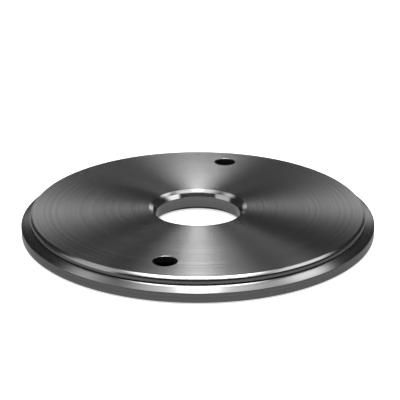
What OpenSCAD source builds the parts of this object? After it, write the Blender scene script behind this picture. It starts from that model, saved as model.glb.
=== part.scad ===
// Low banding wheel: a turned steel wheel head that spins on a bevelled base plate.
// +Z points up, the feet stand on z = 0 and the wheel spins about the Z axis.
// Heights inside the wheel are given as depths below the wheel head's top face.

/* [Overall] */
// Diameter of the base plate, the widest part
base_d = 200; // [199:0.1:204]
// Height from the top face to the base plate's underside
disc_t = 11.5; // [11.4:0.1:13]
// How far the rubber feet stand out below the base plate
foot_stand = 1; // [0.5:0.1:3]

/* [Wheel head] */
// Diameter of the wheel head over its step wall
head_d = 190.2; // [189:0.1:192]
// Thickness of the wheel head plate
head_t = 3.55; // [3.4:0.05:3.8]
// Width of the first rim facet, next to the top face
rim_facet_w = 1.06; // [0.6:0.02:1.4]
// Depth of the first rim facet
rim_facet_h = 1.15; // [0.6:0.05:1.3]
// Width of the second, steeper rim facet
rim_break_w = 0.4; // [0.2:0.05:0.6]
// Depth of the second rim facet
rim_break_h = 0.85; // [0.4:0.05:1]
// Diameter of the bat pin holes
pin_hole_d = 12.7; // [8:0.1:13]
// Chamfer round the bat pin holes
pin_chamfer = 0.2; // [0.1:0.1:0.5]
// Diameter of the circle that the bat pin holes lie on
pin_pcd = 153.2; // [152:0.1:153.6]
// Angle of the first bat pin hole with the wheel at rest
pin_angle = 77.4; // [0:0.1:179]

/* [Centre bore] */
// Diameter of the bore through the hub
bore_d = 48; // [44:0.5:49]
// Diameter of the bore's mouth in the top face
mouth_d = 55.5; // [55:0.1:58]
// Width of the shallow facet at the mouth
mouth_facet_w = 2.25; // [1.5:0.05:2.6]
// Depth of the shallow facet at the mouth
mouth_facet_h = 1.3; // [0.8:0.05:1.6]

/* [Base plate] */
// Depth of the bevel's inner edge below the top face
bevel_top = 4.13; // [4:0.01:4.4]
// Height of the bevel
bevel_h = 1.98; // [1:0.02:3]
// Chamfer round the base plate's bottom edge
base_break = 0.3; // [0.1:0.1:0.6]

/* [Bearing] */
// Number of balls
ball_count = 30; // [24:1:36]
// Diameter of the balls
ball_d = 4; // [3.9:0.02:4.1]
// Diameter of the circle that the balls run on
ball_pcd = 111; // [110:0.5:112]
// Width of both races
race_w = 15; // [14.6:0.1:15.2]
// Thickness of both races
race_t = 1.6; // [1.5:0.05:1.7]

/* [Fasteners] */
// Number of screws in the hub flange and in each race
screw_count = 6; // [3:1:8]
// Thread diameter of the countersunk screws
screw_d = 2.5; // [2:0.1:2.6]
// Number of feet
foot_count = 4; // [4]

/* [Hidden] */

$fn = 120;
eps = 0.01;
slip = 0.05;

// Heights
top_z = foot_stand + disc_t;
under_z = foot_stand;

// Wheel head
head_r = head_d / 2;
bore_r = bore_d / 2;
mouth_r = mouth_d / 2;
pin_hole_r = pin_hole_d / 2;
pin_r = pin_pcd / 2;

// Hub sleeve: a flanged tube screwed under the wheel head
hub_r = 28.5;
hub_flange_r = 40;
hub_flange_t = 2;
hub_end = disc_t - 0.26;
hub_chamfer_w = 1.16;
hub_chamfer_h = 1.6;
hub_screw_r = 34;

// Base plate: the depths of its land, of its counterbore and of its recesses
base_r = base_d / 2;
bush_r = 31;
land_top = head_t + hub_flange_t + 0.35;
counterbore_r = 37;
counterbore_top = land_top + 2;
ball_r = ball_d / 2;
ball_ring_r = ball_pcd / 2;
race_in_r = ball_ring_r - race_w / 2 + 0.5;
race_out_r = race_in_r + race_w;
race_gap = 2.85;
upper_race_end = head_t + race_t;
lower_race_top = upper_race_end + race_gap;
lower_race_end = lower_race_top + race_t;
ball_depth = upper_race_end + race_gap / 2;
groove_r = ball_r + 0.03;
race_screw_r = ball_ring_r + 4.8;
pin_groove_w = 14.4;
pin_groove_end = 9.5;

// Parts under the base plate that hold the hub down
bush_flange_r = 34.5;
bush_flange_t = 0.6;
bush_flange_end = counterbore_top + bush_flange_t;
washer_t = 0.5;
washer_top = bush_flange_end + 0.03;
wave_top = washer_top + washer_t + 0.02;
wave_r_in = hub_r + 0.2;
wave_r_out = 33;
wave_t = 0.3;
wave_amplitude = 0.22;
wave_count = 3;
wave_steps = 72;
circlip_top = wave_top + wave_t + 2 * wave_amplitude + 0.04;
circlip_t = 0.8;
clip_groove_r = hub_r - 0.6;
clip_r = 31.2;
clip_gap = 9;
lug_r = 1.9;
lug_hole_r = 0.8;

// Ball cage
cage_t = 1.75;
cage_w = 7.6;
pocket_r = ball_r + 0.12;

// Dust seal
seal_in_r = 86.6;
seal_w = 3.4;
seal_end = 5.6;

// Countersunk screws
screw_r = screw_d / 2;
screw_head_r = screw_r + 1.1;
screw_lip = 0.1;
thread_in = 2;
socket_r = 0.85;
socket_depth = 0.9;
floor_t = disc_t - lower_race_end;

// Feet
foot_ring_r = 90;
foot_r = 6.3;
foot_pocket = 1.5;
foot_h = foot_stand + foot_pocket;
foot_edge = 0.4;
foot_angle = 45;
foot_screw_r = 1.5;
foot_screw_head_r = 2.75;
foot_screw_head_h = 1.2;
foot_screw_sunk = 0.3;
foot_screw_in = 3;

// Moves to a depth below the top face
module at_depth(depth) {
    translate([0, 0, top_z - depth]) children();
}

// A flat ring between two depths
module ring(r_out, r_in, depth_top, depth_end) {
    at_depth(depth_end) difference() {
        cylinder(r = r_out, h = depth_end - depth_top);
        translate([0, 0, -1]) cylinder(r = r_in, h = depth_end - depth_top + 2);
    }
}

// A cutter with the same shape, drawn as a solid disc
module disc(r, depth_top, depth_end) {
    at_depth(depth_end) cylinder(r = r, h = depth_end - depth_top);
}

// Copies placed evenly on a circle
module on_circle(count, r, start = 0) {
    for (i = [0 : count - 1]) {
        rotate([0, 0, start + i * 360 / count]) translate([r, 0, 0]) children();
    }
}

// The outline of a countersunk screw with its head at z = 0; play makes it a hole for that screw
module screw_outline(length, play = 0) {
    rotate_extrude($fn = 32) polygon([
        [0, -play],
        [screw_head_r + play, -play],
        [screw_head_r + play, screw_lip],
        [screw_r + play, screw_lip + screw_head_r - screw_r],
        [screw_r + play, length + play],
        [0, length + play]
    ]);
}

module countersunk_screw(length) {
    difference() {
        screw_outline(length);
        translate([0, 0, -1]) cylinder(r = socket_r, h = 1 + socket_depth, $fn = 6);
    }
}

// Rows of countersunk screws, and the holes for them
module screw_row(r, depth, length) {
    at_depth(depth) on_circle(screw_count, r) countersunk_screw(length);
}

module screw_holes(r, depth, length) {
    at_depth(depth) on_circle(screw_count, r) screw_outline(length, slip);
}

// The ring that the balls cut into a race
module ball_track() {
    at_depth(ball_depth) rotate_extrude() translate([ball_ring_r, 0]) circle(r = groove_r, $fn = 48);
}

// Wheel head: the plate that the work stands on, with its bore mouth and its bat pin holes
module wheel_head() {
    color("dimgray") difference() {
        translate([0, 0, top_z]) rotate_extrude() polygon([
            [mouth_r, 0],
            [head_r - rim_break_w - rim_facet_w, 0],
            [head_r - rim_break_w, -rim_facet_h],
            [head_r, -rim_facet_h - rim_break_h],
            [head_r, -head_t],
            [bore_r, -head_t],
            [mouth_r - mouth_facet_w, -mouth_facet_h]
        ]);
        on_circle(2, pin_r, pin_angle) pin_hole();
        screw_holes(hub_screw_r, head_t + hub_flange_t, hub_flange_t + thread_in + 0.2);
        screw_holes(race_screw_r, upper_race_end, race_t + thread_in + 0.2);
    }
}

// One bat pin hole, with its chamfer in the top face
module pin_hole() {
    translate([0, 0, top_z - head_t - 1]) cylinder(r = pin_hole_r, h = head_t + 2, $fn = 64);
    translate([0, 0, top_z - pin_chamfer])
        cylinder(r1 = pin_hole_r, r2 = pin_hole_r + pin_chamfer + eps, h = pin_chamfer + eps, $fn = 64);
}

// Hub sleeve: its inside is the bore, its outside turns in the bush
module hub_sleeve() {
    color("dimgray") difference() {
        translate([0, 0, top_z]) rotate_extrude() polygon([
            [bore_r, -head_t],
            [hub_flange_r, -head_t],
            [hub_flange_r, -head_t - hub_flange_t],
            [hub_r, -head_t - hub_flange_t],
            [hub_r, -circlip_top + 0.02],
            [clip_groove_r, -circlip_top + 0.02],
            [clip_groove_r, -circlip_top - circlip_t - 0.02],
            [hub_r, -circlip_top - circlip_t - 0.02],
            [hub_r, -hub_end],
            [bore_r + hub_chamfer_w, -hub_end],
            [bore_r, -hub_end + hub_chamfer_h]
        ]);
        screw_holes(hub_screw_r, head_t + hub_flange_t, hub_flange_t + 1);
    }
}

module hub_screws() {
    color("silver") screw_row(hub_screw_r, head_t + hub_flange_t, hub_flange_t + thread_in);
}

module upper_race() {
    color("gray") difference() {
        ring(race_out_r, race_in_r, head_t, upper_race_end);
        ball_track();
        screw_holes(race_screw_r, upper_race_end, race_t + 1);
    }
}

module upper_race_screws() {
    color("silver") screw_row(race_screw_r, upper_race_end, race_t + thread_in);
}

module thrust_washer() {
    color("gray") ring(bush_flange_r, hub_r + 2 * slip, washer_top, washer_top + washer_t);
}

// A point of the wave washer: side 0 is the underside and side 1 the top
function wave_point(r, step, side) = let (a = step * 360 / wave_steps)
    [r * cos(a), r * sin(a), wave_amplitude * sin(wave_count * a) + side * wave_t];

// Wave washer: a sprung ring that takes up the end play
module wave_washer() {
    corners = [[wave_r_in, 0], [wave_r_out, 0], [wave_r_out, 1], [wave_r_in, 1]];
    points = [for (i = [0 : wave_steps - 1]) for (c = corners) wave_point(c[0], i, c[1])];
    faces = [for (i = [0 : wave_steps - 1]) for (j = [0 : 3]) let (
        a = 4 * i + j,
        b = 4 * i + (j + 1) % 4,
        c = 4 * ((i + 1) % wave_steps) + (j + 1) % 4,
        d = 4 * ((i + 1) % wave_steps) + j
    ) each [[a, b, c], [a, c, d]]];
    color("slategray") at_depth(wave_top + wave_t + wave_amplitude) polyhedron(points, faces);
}

// Circlip: an open ring with two lugs, sprung into the groove at the hub's end
module circlip() {
    lug_angle = asin((clip_gap / 2 + lug_r) / clip_r);
    color("darkslategray") at_depth(circlip_top + circlip_t) linear_extrude(circlip_t) difference() {
        union() {
            difference() {
                circle(r = clip_r);
                translate([0, -clip_gap / 2]) square([clip_r + 5, clip_gap]);
            }
            for (side = [-1, 1]) {
                rotate(side * lug_angle) translate([clip_r, 0]) circle(r = lug_r, $fn = 32);
            }
        }
        circle(r = clip_groove_r + slip);
        for (side = [-1, 1]) {
            rotate(side * lug_angle) translate([clip_r, 0]) circle(r = lug_hole_r, $fn = 24);
        }
    }
}

// Ball cage: keeps the balls apart and turns at half the wheel's speed
module ball_cage() {
    color("ivory") difference() {
        ring(ball_ring_r + cage_w / 2, ball_ring_r - cage_w / 2, ball_depth - cage_t / 2, ball_depth + cage_t / 2);
        at_depth(ball_depth + cage_t) on_circle(ball_count, ball_ring_r)
            cylinder(r = pocket_r, h = 2 * cage_t, $fn = 32);
    }
}

module bearing_balls() {
    color("lightgray") at_depth(ball_depth) on_circle(ball_count, ball_ring_r) sphere(r = ball_r, $fn = 32);
}

// Base plate: bevelled at the rim, recessed for the lower race, the bat pins' ends and the seal
module base_plate() {
    color("dimgray") difference() {
        translate([0, 0, top_z]) rotate_extrude() polygon([
            [bush_r, -bevel_top],
            [head_r, -bevel_top],
            [base_r, -bevel_top - bevel_h],
            [base_r, -disc_t + base_break],
            [base_r - base_break, -disc_t],
            [bush_r, -disc_t]
        ]);
        disc(race_in_r - slip, 0, land_top);
        ring(race_out_r + slip, race_in_r - slip - eps, 0, lower_race_end);
        ring(pin_r + pin_groove_w / 2, pin_r - pin_groove_w / 2, 0, pin_groove_end);
        ring(seal_in_r + seal_w + slip, seal_in_r - slip, 0, seal_end);
        disc(counterbore_r, counterbore_top, disc_t + 1);
        screw_holes(race_screw_r, disc_t, floor_t + 1);
        at_depth(disc_t + 1) on_circle(foot_count, foot_ring_r, foot_angle)
            cylinder(r = foot_r + slip, h = foot_pocket + 1, $fn = 64);
        at_depth(disc_t) on_circle(foot_count, foot_ring_r, foot_angle)
            cylinder(r = foot_screw_r + slip, h = foot_pocket + foot_screw_in + 0.3, $fn = 32);
    }
}

// Hub bush: a flanged plain bearing pressed into the base plate from below
module hub_bush() {
    color("darkgoldenrod") union() {
        ring(bush_r, hub_r + slip, land_top, bush_flange_end);
        ring(bush_flange_r, bush_r - eps, counterbore_top, bush_flange_end);
    }
}

module lower_race() {
    color("gray") difference() {
        ring(race_out_r, race_in_r, lower_race_top, lower_race_end);
        ball_track();
        screw_holes(race_screw_r, disc_t, floor_t + race_t + 1);
    }
}

module lower_race_screws() {
    color("silver") screw_row(race_screw_r, disc_t, floor_t + race_t - 0.1);
}

// Dust seal: a felt ring that keeps slip and grit out of the bearing
module dust_seal() {
    color("darkkhaki") ring(seal_in_r + seal_w, seal_in_r, head_t + slip, seal_end);
}

// A rubber foot, sunk into the base plate and held by one screw
module foot(index) {
    color("black") rotate([0, 0, foot_angle + (index - 1) * 360 / foot_count])
        translate([foot_ring_r, 0, 0]) difference() {
            rotate_extrude($fn = 64) polygon([
                [0, 0],
                [foot_r - foot_edge, 0],
                [foot_r, foot_edge],
                [foot_r, foot_h],
                [0, foot_h]
            ]);
            translate([0, 0, -1])
                cylinder(r = foot_screw_head_r + slip, h = 1 + foot_screw_sunk + foot_screw_head_h, $fn = 32);
            translate([0, 0, -1]) cylinder(r = foot_screw_r + slip, h = foot_h + 2, $fn = 32);
        }
}

// Pan head screws that hold the feet
module foot_screws() {
    socket_h = 0.8;
    color("silver") on_circle(foot_count, foot_ring_r, foot_angle) translate([0, 0, foot_screw_sunk])
        difference() {
            union() {
                cylinder(r = foot_screw_head_r, h = foot_screw_head_h, $fn = 32);
                cylinder(r = foot_screw_r, h = foot_h - foot_screw_sunk + foot_screw_in, $fn = 32);
            }
            translate([0, 0, -1]) cylinder(r = socket_r, h = 1 + socket_h, $fn = 6);
        }
}

wheel_head();
hub_sleeve();
hub_screws();
upper_race();
upper_race_screws();
thrust_washer();
wave_washer();
circlip();
ball_cage();
bearing_balls();
base_plate();
hub_bush();
lower_race();
lower_race_screws();
dust_seal();
foot(1);  // foot_1
foot(2);  // foot_2
foot(3);  // foot_3
foot(4);  // foot_4
foot_screws();
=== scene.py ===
"""Looks of the low banding wheel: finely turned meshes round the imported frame, and a plain studio."""

import math

import bmesh
import bpy
from mathutils import Matrix, Vector


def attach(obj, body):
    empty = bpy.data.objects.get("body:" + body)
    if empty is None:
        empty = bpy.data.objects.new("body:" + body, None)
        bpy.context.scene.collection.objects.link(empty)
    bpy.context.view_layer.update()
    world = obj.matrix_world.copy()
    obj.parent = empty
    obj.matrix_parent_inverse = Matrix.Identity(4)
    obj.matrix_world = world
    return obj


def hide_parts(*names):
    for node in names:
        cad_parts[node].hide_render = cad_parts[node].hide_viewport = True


MM = 0.001

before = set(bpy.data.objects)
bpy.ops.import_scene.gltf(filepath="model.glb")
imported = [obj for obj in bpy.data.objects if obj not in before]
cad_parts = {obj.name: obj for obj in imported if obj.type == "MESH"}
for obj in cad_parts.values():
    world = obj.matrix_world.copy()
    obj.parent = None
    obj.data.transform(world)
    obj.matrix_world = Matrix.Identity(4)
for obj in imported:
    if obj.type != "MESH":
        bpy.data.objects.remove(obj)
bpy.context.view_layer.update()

# ---------------------------------------------------------------- sizes, in mm, as in the CAD source
TOP_Z = 12.5
UNDER_Z = 1.0
SLIP = 0.05

HEAD_R, HEAD_T = 95.1, 3.55
RIM_FACET_W, RIM_FACET_H = 1.06, 1.15
RIM_BREAK_W, RIM_BREAK_H = 0.4, 0.85
MOUTH_R, MOUTH_FACET_W, MOUTH_FACET_H = 27.75, 2.25, 1.3
BORE_R = 24.0
PIN_R, PIN_HOLE_R, PIN_CHAMFER, PIN_ANGLE = 76.6, 6.35, 0.2, 77.4

HUB_R, HUB_FLANGE_R, HUB_FLANGE_T, HUB_END = 28.5, 40.0, 2.0, 11.24
HUB_CHAMFER_W, HUB_CHAMFER_H = 1.16, 1.6
CLIP_GROOVE_R, CIRCLIP_TOP, CIRCLIP_T = 27.9, 9.83, 0.8
HUB_SCREW_R, SCREW_COUNT = 34.0, 6

BASE_R, BASE_BREAK, BEVEL_TOP, BEVEL_H = 100.0, 0.3, 4.13, 1.98
BUSH_R, LAND_TOP, COUNTERBORE_R, COUNTERBORE_TOP = 31.0, 5.9, 37.0, 7.9
RACE_IN_R, RACE_OUT_R, RACE_T, RACE_END, RACE_SCREW_R = 48.5, 63.5, 1.6, 9.6, 60.3
PIN_GROOVE_W, PIN_GROOVE_END = 14.4, 9.5
SEAL_IN_R, SEAL_W, SEAL_END = 86.6, 3.4, 5.6

FOOT_RING_R, FOOT_R, FOOT_H, FOOT_POCKET = 90.0, 6.3, 2.5, 1.5
FOOT_SCREW_R, FOOT_SCREW_HEAD_R, FOOT_SCREW_HEAD_H, FOOT_SCREW_SUNK = 1.5, 2.75, 1.2, 0.3
SCREW_R, SCREW_LIP, SOCKET_R = 1.25, 0.1, 0.85
SCREW_HEAD_R = SCREW_R + 1.1
SCREW_BITE, HOLE_SPARE = 2.0, 0.2
LOWER_RACE_SCREW_L, LOWER_RACE_HOLE = 3.4, 2.9
FOOT_SCREW_BITE, FOOT_HOLE = 3.0, 3.3

UNDER_DEPTH = TOP_Z - UNDER_Z
PAST = 1.0  # how far a cutter runs past the face it starts from
NEAR = 0.1  # how close to a wall a face's centre counts as part of it
FACING_UP = 0.99

# Steps round the axis: turned faces, mid-sized round pieces, screws.
FINE, MIDDLE, SMALL = 360, 96, 64


def at(depth):
    """Height of a depth below the top face."""
    return TOP_Z - depth


# ---------------------------------------------------------------- mesh tools
def softened(outline, radius, steps=3):
    """A closed (r, z) outline with each corner rounded; radius is one number or one for each corner."""
    made = []
    count = len(outline)
    for i, corner in enumerate(outline):
        here = Vector(corner)
        size = radius[i] if isinstance(radius, (list, tuple)) else radius
        before = Vector(outline[i - 1]) - here
        after = Vector(outline[(i + 1) % count]) - here
        turn = math.pi - before.angle(after)
        if size <= 0 or turn < 0.02:
            made.append(here)
            continue
        back = min(size * math.tan(turn / 2), 0.45 * before.length, 0.45 * after.length)
        start, end = here + before.normalized() * back, here + after.normalized() * back
        for k in range(steps + 1):
            t = k / steps
            made.append((1 - t) ** 2 * start + 2 * t * (1 - t) * here + t * t * end)
    return made


def revolved(name, outline, segments=FINE):
    """A closed (r, z) outline in mm turned round Z; points on the axis become one point."""
    bm = bmesh.new()
    rings = []
    for r, z in outline:
        if r < 1e-6:
            rings.append([bm.verts.new((0, 0, z * MM))] * segments)
            continue
        rings.append([
            bm.verts.new((r * MM * math.cos(a), r * MM * math.sin(a), z * MM))
            for a in (2 * math.pi * k / segments for k in range(segments))
        ])
    for i, ring in enumerate(rings):
        other = rings[(i + 1) % len(rings)]
        for k in range(segments):
            corners = []
            for v in (ring[k], ring[(k + 1) % segments], other[(k + 1) % segments], other[k]):
                if v not in corners:
                    corners.append(v)
            if len(corners) > 2:
                bm.faces.new(corners)
    bmesh.ops.recalc_face_normals(bm, faces=bm.faces)
    mesh = bpy.data.meshes.new(name)
    bm.to_mesh(mesh)
    bm.free()
    obj = bpy.data.objects.new(name, mesh)
    bpy.context.scene.collection.objects.link(obj)
    return obj


def joined(name, objects):
    """One object with copies of all the meshes, each at its own place."""
    bm = bmesh.new()
    for o in objects:
        part = o.data.copy()
        part.transform(o.matrix_world)
        bm.from_mesh(part)
        bpy.data.meshes.remove(part)
    mesh = bpy.data.meshes.new(name)
    bm.to_mesh(mesh)
    bm.free()
    for o in objects:
        bpy.data.objects.remove(o)
    obj = bpy.data.objects.new(name, mesh)
    bpy.context.scene.collection.objects.link(obj)
    return obj


def spread(obj, count, radius, start=0.0, height=0.0):
    """Copies of obj, evenly round Z, as one object. Radius and height are in mm, start in degrees."""
    copies = []
    for k in range(count):
        angle = math.radians(start + 360 * k / count)
        place = Matrix.Rotation(angle, 4, "Z") @ Matrix.Translation((radius * MM, 0, height * MM))
        twin = bpy.data.objects.new(f"{obj.name}_{k}", obj.data.copy())
        bpy.context.scene.collection.objects.link(twin)
        twin.data.transform(place)
        copies.append(twin)
    name = obj.name
    bpy.data.objects.remove(obj)
    return joined(name, copies)


def cut(obj, *cutters):
    """Takes the cutters out of obj, and removes them."""
    tool = joined("cutter", list(cutters))
    step = obj.modifiers.new("cut", "BOOLEAN")
    step.operation, step.solver, step.object = "DIFFERENCE", "EXACT", tool
    bpy.context.view_layer.update()
    shaped = bpy.data.meshes.new_from_object(obj.evaluated_get(bpy.context.evaluated_depsgraph_get()))
    obj.modifiers.clear()
    obj.data = shaped
    bpy.data.objects.remove(tool)
    return obj


def crisp(obj, degrees=8):
    """Smooth shading, with every real edge kept sharp."""
    obj.data.shade_smooth()
    obj.data.set_sharp_from_angle(angle=math.radians(degrees))
    return obj


def screw_outline(length, play=0.0):
    return [
        (0, -play), (SCREW_HEAD_R + play, -play), (SCREW_HEAD_R + play, SCREW_LIP),
        (SCREW_R + play, SCREW_LIP + SCREW_HEAD_R - SCREW_R), (SCREW_R + play, length + play),
        (0, length + play),
    ]


def screw_holes(radius, depth, length):
    return spread(revolved("hole", screw_outline(length, SLIP), SMALL), SCREW_COUNT, radius, 0, at(depth))


def hex_socket(depth):
    """A cutter for a hexagon socket, from below z = 0 up to its depth, with a drilled point."""
    return revolved("socket", [(0, -PAST), (SOCKET_R, -PAST), (SOCKET_R, depth), (0, depth + 0.25)], 6)


def place(obj, body, material, nodes, slot, *special):
    """Gives a finished piece its shading, looks and body, and hides the CAD nodes it stands for; slot is not
    used.

    Each special is a material and a test, which takes a face's centre in mm and its normal.
    """
    crisp(obj)
    obj.data.materials.clear()
    obj.data.materials.append(material)
    for made, _ in special:
        obj.data.materials.append(made)
    for face in obj.data.polygons:
        for index, (_, test) in enumerate(special, 1):
            if test(face.center / MM, face.normal):
                face.material_index = index
                break
    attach(obj, body)
    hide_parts(*nodes)
    return obj


# ---------------------------------------------------------------- materials
class Nodes:
    """A short way to write the node tree of a material, a light panel or the world."""

    def __init__(self, owner, shader="BsdfPrincipled", out="OutputMaterial"):
        owner.use_nodes = True
        self.owner = owner
        self.tree = owner.node_tree
        self.tree.nodes.clear()
        self.out = self.add(out)
        self.shader = self.add(shader)
        self.link(self.shader.outputs[0], self.out.inputs["Surface"])
        self.coordinates = self.add("TexCoord")
        self.position = self.coordinates.outputs["Object"]

    def add(self, kind, **settings):
        node = self.tree.nodes.new("ShaderNode" + kind)
        for key, value in settings.items():
            setattr(node, key, value)
        return node

    def link(self, source, target):
        self.tree.links.new(source, target)

    def feed(self, target, value):
        if isinstance(value, bpy.types.NodeSocket):
            self.link(value, target)
        else:
            target.default_value = value

    def math(self, operation, *values):
        node = self.add("Math", operation=operation)
        for socket, value in zip(node.inputs, values):
            self.feed(socket, value)
        return node.outputs[0]

    def remap(self, value, low, high, to_low, to_high, soft=False):
        node = self.add("MapRange", interpolation_type="SMOOTHSTEP" if soft else "LINEAR")
        for key, number in (("From Min", low), ("From Max", high), ("To Min", to_low), ("To Max", to_high)):
            node.inputs[key].default_value = number
        self.feed(node.inputs["Value"], value)
        return node.outputs["Result"]

    def split(self, vector):
        node = self.add("SeparateXYZ")
        self.feed(node.inputs[0], vector)
        return node.outputs

    def combine(self, x, y, z):
        node = self.add("CombineXYZ")
        for socket, value in zip(node.inputs, (x, y, z)):
            self.feed(socket, value)
        return node.outputs[0]

    def noise(self, vector, scale, detail=2.0, roughness=0.5):
        node = self.add("TexNoise")
        self.feed(node.inputs["Vector"], vector)
        node.inputs["Scale"].default_value = scale
        node.inputs["Detail"].default_value = detail
        node.inputs["Roughness"].default_value = roughness
        return node.outputs["Fac"]

    def ramp(self, value, *stops):
        node = self.add("ValToRGB")
        elements = node.color_ramp.elements
        while len(elements) < len(stops):
            elements.new(0.5)
        for element, (position, colour) in zip(elements, stops):
            element.position = position
            element.color = (*colour, 1)
        self.feed(node.inputs["Fac"], value)
        return node.outputs["Color"]

    def scaled(self, vector, factor):
        node = self.add("VectorMath", operation="SCALE")
        self.feed(node.inputs[0], vector)
        self.feed(node.inputs["Scale"], factor)
        return node.outputs[0]

    def bump(self, height, distance):
        node = self.add("Bump")
        node.inputs["Distance"].default_value = distance
        node.inputs["Strength"].default_value = 1.0
        self.feed(node.inputs["Height"], height)
        return node.outputs["Normal"]

    def sockets(self, **values):
        for key, value in values.items():
            self.feed(self.shader.inputs[key.replace("_", " ")], value)

    def polar(self):
        """Distance from the spin axis, the direction from the axis as two numbers, and height."""
        x, y, z = self.split(self.position)
        radius = self.math("SQRT", self.math("ADD", self.math("MULTIPLY", x, x), self.math("MULTIPLY", y, y)))
        return radius, self.math("DIVIDE", x, radius), self.math("DIVIDE", y, radius), z

    def ring_noise(self, across, unit_x, unit_y, pitch, wander, detail, roughness):
        """Noise that changes every pitch (mm) across turning lines, and slowly along them, by wander."""
        along = self.combine(self.math("MULTIPLY", across, 1 / (pitch * MM)),
                             self.math("MULTIPLY", unit_x, wander), self.math("MULTIPLY", unit_y, wander))
        return self.noise(along, 1.0, detail, roughness)


def grey(value, warm=0.0):
    return (value * (1 + warm), value, value * (1 - warm))


def turned(name, tone, roughness, anisotropy, lines=0.002, rings=0.13, painted_radial_shade=0.0):
    """Lathe-turned steel: turning lines round the axis, tone that changes from ring to ring, arc scratches.

    lines is the depth of the lines in mm, rings how far the tone swings from ring to ring, and the last one
    how far the colour is darkened over 50 mm of radius, from near the bore out to the rim: painted shade for
    the reflected light falling off outwards.
    """
    n = Nodes(bpy.data.materials.new(name))
    radius, unit_x, unit_y, z = n.polar()
    across = n.math("ADD", radius, z)
    fine = n.ring_noise(across, unit_x, unit_y, 0.35, 1.2, 2.0, 0.6)
    bands = n.ring_noise(across, unit_x, unit_y, 1.7, 0.1, 2.0, 0.6)
    clouds = n.noise(n.position, 38.0, 3.0, 0.5)
    mix = n.math("ADD", n.math("MULTIPLY", fine, 0.6), n.math("MULTIPLY", clouds, 0.4))
    base = n.ramp(mix, (0.28, grey(tone * 0.95, 0.004)), (0.5, grey(tone)), (0.74, grey(tone * 1.04, -0.004)))
    # Painted shade: the colour is scaled by a random ring-to-ring tone and by a darkening from the bore out
    # to the rim, which stands in for how the reflected light falls across the face.
    ring_tone_and_painted_shade = n.math("MULTIPLY", n.remap(bands, 0.3, 0.7, 1 - rings, 1 + rings),
                   n.remap(radius, 0.035, 0.085, 1 + painted_radial_shade / 2, 1 - painted_radial_shade / 2))
    colour = n.scaled(base, ring_tone_and_painted_shade)
    rough = n.remap(mix, 0.3, 0.7, roughness * 1.05, roughness * 0.95)
    normal = n.bump(fine, lines * MM)
    n.sockets(Base_Color=colour, Metallic=1.0, Roughness=rough, Anisotropic=anisotropy, Normal=normal)
    n.shader.inputs["Anisotropic Rotation"].default_value = 0.25
    tangent = n.add("Tangent", direction_type="RADIAL", axis="Z")
    n.link(tangent.outputs[0], n.shader.inputs["Tangent"])
    return n.owner


def plain_metal(name, tone, roughness, scale=300.0):
    """Ground or rolled metal: even satin with faint mottling."""
    n = Nodes(bpy.data.materials.new(name))
    spots = n.noise(n.position, scale, 4.0, 0.6)
    grain = n.noise(n.position, scale * 12, 2.0, 0.5)
    mix = n.math("ADD", n.math("MULTIPLY", spots, 0.6), n.math("MULTIPLY", grain, 0.4))
    colour = n.ramp(mix, (0.3, tuple(c * 0.84 for c in tone)), (0.7, tone))
    rough = n.remap(mix, 0.3, 0.7, roughness * 1.15, roughness * 0.85)
    n.sockets(Base_Color=colour, Metallic=1.0, Roughness=rough, Normal=n.bump(grain, 0.004 * MM))
    return n.owner


def moulded(name, dark, light, roughness, grain_scale, grain_depth):
    """A moulded or matted piece that isn't metal."""
    n = Nodes(bpy.data.materials.new(name))
    spots = n.noise(n.position, grain_scale * 0.12, 3.0, 0.55)
    grain = n.noise(n.position, grain_scale, 4.0, 0.65)
    mix = n.math("ADD", n.math("MULTIPLY", spots, 0.5), n.math("MULTIPLY", grain, 0.5))
    colour = n.ramp(mix, (0.32, dark), (0.68, light))
    rough = n.remap(mix, 0.3, 0.7, min(1.0, roughness * 1.1), roughness * 0.9)
    n.sockets(Base_Color=colour, Metallic=0.0, Roughness=rough, Normal=n.bump(grain, grain_depth * MM))
    return n.owner


# The top face's colour is painted darker towards the rim: painted shade for the reflected light falling off
# outwards.
HEAD_STEEL = turned("turned_face", tone=0.45, roughness=0.255, anisotropy=0.97, painted_radial_shade=0.36)
RIM_STEEL = turned("turned_rim", tone=0.38, roughness=0.18, anisotropy=0.1)
BEVEL_STEEL = turned("turned_bevel", tone=0.4, roughness=0.16, anisotropy=0.1)
BORE_STEEL = turned("bored_steel", tone=0.45, roughness=0.135, anisotropy=0.1)
# Painted shade: a near-black metal for the pin hole walls and the pin groove, standing in for the shade down
# inside them.
PAINTED_HOLE_SHADE = plain_metal("drilled_painted_shade", (0.05, 0.05, 0.052), 0.5)
RACE_STEEL = plain_metal("race_ground", (0.55, 0.55, 0.56), 0.16)
BALL_STEEL = plain_metal("ball_polished", (0.62, 0.62, 0.64), 0.06)
SPRING_STEEL = plain_metal("spring_blued", (0.16, 0.17, 0.2), 0.34)
SCREW_STEEL = plain_metal("screw_zinc", (0.52, 0.53, 0.55), 0.28)
BRONZE = turned("bush_bronze", tone=0.4, roughness=0.3, anisotropy=0.6)
NYLON = moulded("cage_nylon", (0.66, 0.63, 0.55), (0.78, 0.75, 0.67), 0.45, 900.0, 0.01)
FELT = moulded("seal_felt", (0.2, 0.18, 0.14), (0.42, 0.38, 0.3), 0.95, 2600.0, 0.12)
RUBBER = moulded("foot_rubber_grained", (0.012, 0.012, 0.013), (0.03, 0.03, 0.031), 0.72, 1800.0, 0.03)

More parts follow.
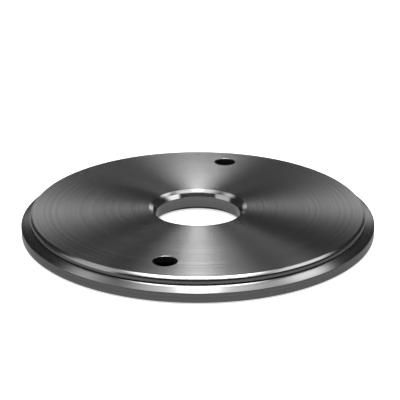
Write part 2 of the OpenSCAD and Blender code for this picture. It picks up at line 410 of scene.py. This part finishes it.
# ---------------------------------------------------------------- the wheel head
head = revolved("wheel_head_turned", softened([
    (MOUTH_R, TOP_Z),
    (HEAD_R - RIM_BREAK_W - RIM_FACET_W, TOP_Z),
    (HEAD_R - RIM_BREAK_W, TOP_Z - RIM_FACET_H),
    (HEAD_R, TOP_Z - RIM_FACET_H - RIM_BREAK_H),
    (HEAD_R, at(HEAD_T)),
    (BORE_R, at(HEAD_T)),
    (MOUTH_R - MOUTH_FACET_W, TOP_Z - MOUTH_FACET_H),
], [0.1, 0.1, 0.08, 0.08, 0.12, 0.02, 0.06]))
pin_hole = revolved("pin_hole", [
    (0, at(HEAD_T) - PAST), (PIN_HOLE_R, at(HEAD_T) - PAST), (PIN_HOLE_R, TOP_Z - PIN_CHAMFER),
    (PIN_HOLE_R + 2 * PIN_CHAMFER, TOP_Z + PIN_CHAMFER), (0, TOP_Z + PIN_CHAMFER),
], MIDDLE)
cut(
    head,
    spread(pin_hole, 2, PIN_R, PIN_ANGLE),
    screw_holes(HUB_SCREW_R, HEAD_T + HUB_FLANGE_T, HUB_FLANGE_T + SCREW_BITE + HOLE_SPARE),
    screw_holes(RACE_SCREW_R, HEAD_T + RACE_T, RACE_T + SCREW_BITE + HOLE_SPARE),
)
pin_hole_place = Vector((math.cos(math.radians(PIN_ANGLE)), math.sin(math.radians(PIN_ANGLE)))) * PIN_R


def in_pin_hole(centre, _):
    spot = centre.xy
    return min((spot - pin_hole_place).length, (spot + pin_hole_place).length) < PIN_HOLE_R + NEAR


place(
    head, "head", RIM_STEEL, ["wheel_head"], "turned_steel_head",
    (HEAD_STEEL, lambda centre, normal: normal.z > FACING_UP),
    # painted shade: the pin hole walls get the near-black metal
    (PAINTED_HOLE_SHADE, in_pin_hole),
    (BORE_STEEL, lambda centre, normal: centre.xy.length < MOUTH_R + NEAR),
)

# ---------------------------------------------------------------- the hub sleeve
hub = revolved("hub_sleeve_bored", softened([
    (BORE_R, at(HEAD_T)),
    (HUB_FLANGE_R, at(HEAD_T)),
    (HUB_FLANGE_R, at(HEAD_T + HUB_FLANGE_T)),
    (HUB_R, at(HEAD_T + HUB_FLANGE_T)),
    (HUB_R, at(CIRCLIP_TOP - 0.02)),
    (CLIP_GROOVE_R, at(CIRCLIP_TOP - 0.02)),
    (CLIP_GROOVE_R, at(CIRCLIP_TOP + CIRCLIP_T + 0.02)),
    (HUB_R, at(CIRCLIP_TOP + CIRCLIP_T + 0.02)),
    (HUB_R, at(HUB_END)),
    (BORE_R + HUB_CHAMFER_W, at(HUB_END)),
    (BORE_R, at(HUB_END - HUB_CHAMFER_H)),
], [0.02, 0.15, 0.15, 0.05, 0.05, 0.03, 0.03, 0.05, 0.15, 0.08, 0.08]))
cut(hub, screw_holes(HUB_SCREW_R, HEAD_T + HUB_FLANGE_T, HUB_FLANGE_T + PAST))
place(hub, "head", BORE_STEEL, ["hub_sleeve"], "bored_steel")

# ---------------------------------------------------------------- the base plate
base = revolved("base_plate_turned", softened([
    (BUSH_R, at(LAND_TOP)),
    (RACE_IN_R - SLIP, at(LAND_TOP)),
    (RACE_IN_R - SLIP, at(RACE_END)),
    (RACE_OUT_R + SLIP, at(RACE_END)),
    (RACE_OUT_R + SLIP, at(BEVEL_TOP)),
    (PIN_R - PIN_GROOVE_W / 2, at(BEVEL_TOP)),
    (PIN_R - PIN_GROOVE_W / 2, at(PIN_GROOVE_END)),
    (PIN_R + PIN_GROOVE_W / 2, at(PIN_GROOVE_END)),
    (PIN_R + PIN_GROOVE_W / 2, at(BEVEL_TOP)),
    (SEAL_IN_R - SLIP, at(BEVEL_TOP)),
    (SEAL_IN_R - SLIP, at(SEAL_END)),
    (SEAL_IN_R + SEAL_W + SLIP, at(SEAL_END)),
    (SEAL_IN_R + SEAL_W + SLIP, at(BEVEL_TOP)),
    (HEAD_R, at(BEVEL_TOP)),
    (BASE_R, at(BEVEL_TOP + BEVEL_H)),
    (BASE_R, UNDER_Z + BASE_BREAK),
    (BASE_R - BASE_BREAK, UNDER_Z),
    (COUNTERBORE_R, UNDER_Z),
    (COUNTERBORE_R, at(COUNTERBORE_TOP)),
    (BUSH_R, at(COUNTERBORE_TOP)),
], 0.06))
foot_pocket = revolved("pocket", [
    (0, UNDER_Z - PAST), (FOOT_R + SLIP, UNDER_Z - PAST), (FOOT_R + SLIP, UNDER_Z + FOOT_POCKET),
    (FOOT_SCREW_R + SLIP, UNDER_Z + FOOT_POCKET), (FOOT_SCREW_R + SLIP, UNDER_Z + FOOT_POCKET + FOOT_HOLE),
    (0, UNDER_Z + FOOT_POCKET + FOOT_HOLE),
], SMALL)
cut(
    base,
    screw_holes(RACE_SCREW_R, UNDER_DEPTH, LOWER_RACE_HOLE),
    spread(foot_pocket, 4, FOOT_RING_R, 45),
)


def in_pin_groove(centre, _):
    across = abs(centre.xy.length - PIN_R) < PIN_GROOVE_W / 2 + NEAR
    return across and UNDER_Z + 0.5 < centre.z < at(BEVEL_TOP) - 0.01


# painted shade: the pin groove gets the near-black metal
place(base, "base", BEVEL_STEEL, ["base_plate"], "turned_steel_base", (PAINTED_HOLE_SHADE, in_pin_groove))

# ---------------------------------------------------------------- feet and screws
for index in range(4):
    foot = revolved(f"foot_{index + 1}_moulded", softened([
        (FOOT_SCREW_R + SLIP, FOOT_SCREW_SUNK + FOOT_SCREW_HEAD_H),
        (FOOT_SCREW_HEAD_R + SLIP, FOOT_SCREW_SUNK + FOOT_SCREW_HEAD_H),
        (FOOT_SCREW_HEAD_R + SLIP, 0),
        (FOOT_R - 0.4, 0),
        (FOOT_R, 0.4),
        (FOOT_R, FOOT_H),
        (FOOT_SCREW_R + SLIP, FOOT_H),
    ], [0.05, 0.05, 0.15, 0.35, 0.35, 0.1, 0.05], 5), MIDDLE)
    foot = spread(foot, 1, FOOT_RING_R, 45 + 90 * index)
    foot.name = f"foot_{index + 1}_moulded"
    place(foot, "base", RUBBER, [f"foot_{index + 1}"], "foot_rubber")

pan_screw = revolved("foot_screws_pan", softened([
    (0, 0), (FOOT_SCREW_HEAD_R, 0), (FOOT_SCREW_HEAD_R, FOOT_SCREW_HEAD_H),
    (FOOT_SCREW_R, FOOT_SCREW_HEAD_H), (FOOT_SCREW_R, FOOT_H - FOOT_SCREW_SUNK + FOOT_SCREW_BITE),
    (0, FOOT_H - FOOT_SCREW_SUNK + FOOT_SCREW_BITE),
], [0, 0.5, 0.1, 0.1, 0.3, 0], 5), SMALL)
cut(pan_screw, hex_socket(0.8))
pan_screws = spread(pan_screw, 4, FOOT_RING_R, 45, FOOT_SCREW_SUNK)
place(pan_screws, "base", SCREW_STEEL, ["foot_screws"], "screw_steel")


def screw_row(name, radius, depth, length):
    """A ring of countersunk screws, heads down, from a depth below the top face upwards."""
    one = revolved(name, softened(screw_outline(length), [0, 0.06, 0.06, 0.1, 0.25, 0]), SMALL)
    cut(one, hex_socket(0.65))
    return spread(one, SCREW_COUNT, radius, 0, at(depth))


for name, radius, depth, length, body in (
    ("hub_screws", HUB_SCREW_R, HEAD_T + HUB_FLANGE_T, HUB_FLANGE_T + SCREW_BITE, "head"),
    ("upper_race_screws", RACE_SCREW_R, HEAD_T + RACE_T, RACE_T + SCREW_BITE, "head"),
    ("lower_race_screws", RACE_SCREW_R, UNDER_DEPTH, LOWER_RACE_SCREW_L, "base"),
):
    place(screw_row(name + "_socketed", radius, depth, length), body, SCREW_STEEL, [name], "screw_steel")

# ---------------------------------------------------------------- CAD nodes that keep their own mesh
for name, material in (
    ("upper_race", RACE_STEEL), ("lower_race", RACE_STEEL), ("thrust_washer", RACE_STEEL),
    ("bearing_balls", BALL_STEEL), ("wave_washer", SPRING_STEEL), ("circlip", SPRING_STEEL),
    ("ball_cage", NYLON), ("hub_bush", BRONZE), ("dust_seal", FELT),
):
    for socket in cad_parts[name].material_slots:
        socket.material = material

# ---------------------------------------------------------------- studio
SQUARE = ((-1, -1), (1, -1), (1, 1), (-1, 1))
FLOOR_HALF = 6

# Background brightness: straight down, the rest below, towards the back, at the horizon, all round.
STRAIGHT_DOWN, LOWER_WORLD, BACK_GLOW, HORIZON_GLOW, ALL_ROUND = 0.02, 0.2, 0.09, 0.07, 0.036
HORIZON_FALL = -8.0


def flat(name, corners):
    """A single four-cornered face as an object."""
    mesh = bpy.data.meshes.new(name)
    mesh.from_pydata(corners, [], [(0, 1, 2, 3)])
    obj = bpy.data.objects.new(name, mesh)
    bpy.context.scene.collection.objects.link(obj)
    return obj


def softbox(name, centre, size, edge, strength, aimed=False):
    """A flat panel of light, in metres, that fades out over edge; its size is 0 along the axis it faces.

    It adds its light to what is behind it, and the camera doesn't see it. Boxes that overlap stand at
    different heights. aimed, for the strongest ones, makes the renderer look for them on purpose.
    """
    across = [axis for axis in range(3) if size[axis]]
    half = [size[axis] / 2 + edge / 2 for axis in across]
    corners = []
    for u, v in SQUARE:
        corner = [0, 0, 0]
        corner[across[0]], corner[across[1]] = u * half[0], v * half[1]
        corners.append(corner)
    panel = flat(name, corners)
    panel.location = centre
    n = Nodes(bpy.data.materials.new(name), "AddShader")
    coordinates = n.split(n.position)
    fades = [
        n.remap(n.math("ABSOLUTE", coordinates[axis]), reach - edge, reach, 1, 0, soft=True)
        for axis, reach in zip(across, half)
    ]
    glow = n.add("Emission")
    n.link(n.math("MULTIPLY", n.math("MULTIPLY", *fades), strength), glow.inputs["Strength"])
    n.link(glow.outputs[0], n.shader.inputs[0])
    n.link(n.add("BsdfTransparent").outputs[0], n.shader.inputs[1])
    n.owner.cycles.emission_sampling = "FRONT_BACK" if aimed else "NONE"
    panel.data.materials.append(n.owner)
    panel.visible_camera = False
    panel.visible_shadow = False


softbox("ceiling_strip", (0, 2.6, 4.4), (0.4, 4, 0), 0.6, 5.5, aimed=True)
softbox("ceiling_front", (0, -1.5, 4.45), (4, 1.6, 0), 1.2, 12, aimed=True)
softbox("ceiling_middle", (0.2, 0.7, 4.5), (3, 2.8, 0), 1.2, 1.4)
softbox("ceiling_wide", (0, -1.4, 4.55), (6, 1.2, 0), 1.2, 3)
softbox("corner_right", (2.2, 3, 4.6), (1.2, 1.6, 0), 0.8, 1.8)
softbox("corner_left", (-2.5, 2.6, 4.6), (1.2, 1.8, 0), 1.2, 1)
softbox("side_right", (3.6, -0.6, 3.4), (0, 3.2, 2.4), 0.5, 2)
softbox("side_left", (-3.6, -1, 2.6), (0, 3, 4), 0.5, 0.9)
softbox("back_left", (-1.4, 4.8, 1.8), (1, 0, 1.4), 1.2, 1.2)
softbox("back_right", (1.4, 4.8, 1.4), (1, 0, 1.4), 1.2, 1.3)

floor = flat("floor", [(u * FLOOR_HALF, v * FLOOR_HALF, 0) for u, v in SQUARE])
floor_nodes = Nodes(bpy.data.materials.new("floor_paint"))
floor_nodes.sockets(
    Base_Color=(0.85, 0.85, 0.85, 1), Roughness=0.9, Specular_IOR_Level=0.0,
    Emission_Color=(1, 1, 1, 1), Emission_Strength=0.7,
)
floor_nodes.owner.cycles.emission_sampling = "NONE"
floor.data.materials.append(floor_nodes.owner)
floor.visible_glossy = False

world = bpy.data.worlds.new("studio")
bpy.context.scene.world = world
world.cycles.sampling_method = "NONE"
sky = Nodes(world, "Background", "OutputWorld")
_, toward_back, upward = sky.split(sky.coordinates.outputs["Generated"])
below = sky.remap(upward, -0.95, -0.6, STRAIGHT_DOWN, LOWER_WORLD)
below = sky.math("ADD", below, sky.remap(toward_back, 0.55, 0.9, 0, BACK_GLOW))
below = sky.math("MULTIPLY", below, sky.remap(upward, -0.03, 0.03, 1, 0, soft=True))
fall = sky.math("EXPONENT", sky.math("MULTIPLY", sky.math("ABSOLUTE", upward), HORIZON_FALL))
glow = sky.math("ADD", below, sky.math("MULTIPLY", fall, HORIZON_GLOW))
sky.link(sky.math("ADD", glow, ALL_ROUND), sky.shader.inputs["Color"])

scene = bpy.context.scene
scene.view_settings.view_transform = "Standard"
scene.view_settings.look = "None"

# ---------------------------------------------------------------- camera
LOOKING_DOWN = 21.65  # degrees

camera_data = bpy.data.cameras.new("camera")
camera_data.lens = 110.6
camera_data.sensor_width = 36.0
camera_data.clip_start = 0.01
camera_data.clip_end = 50.0
camera = bpy.data.objects.new("camera", camera_data)
camera.location = (0.0012, -0.6487, 0.274)
camera.rotation_euler = (math.radians(90 - LOOKING_DOWN), 0, 0)
scene.collection.objects.link(camera)
scene.camera = camera
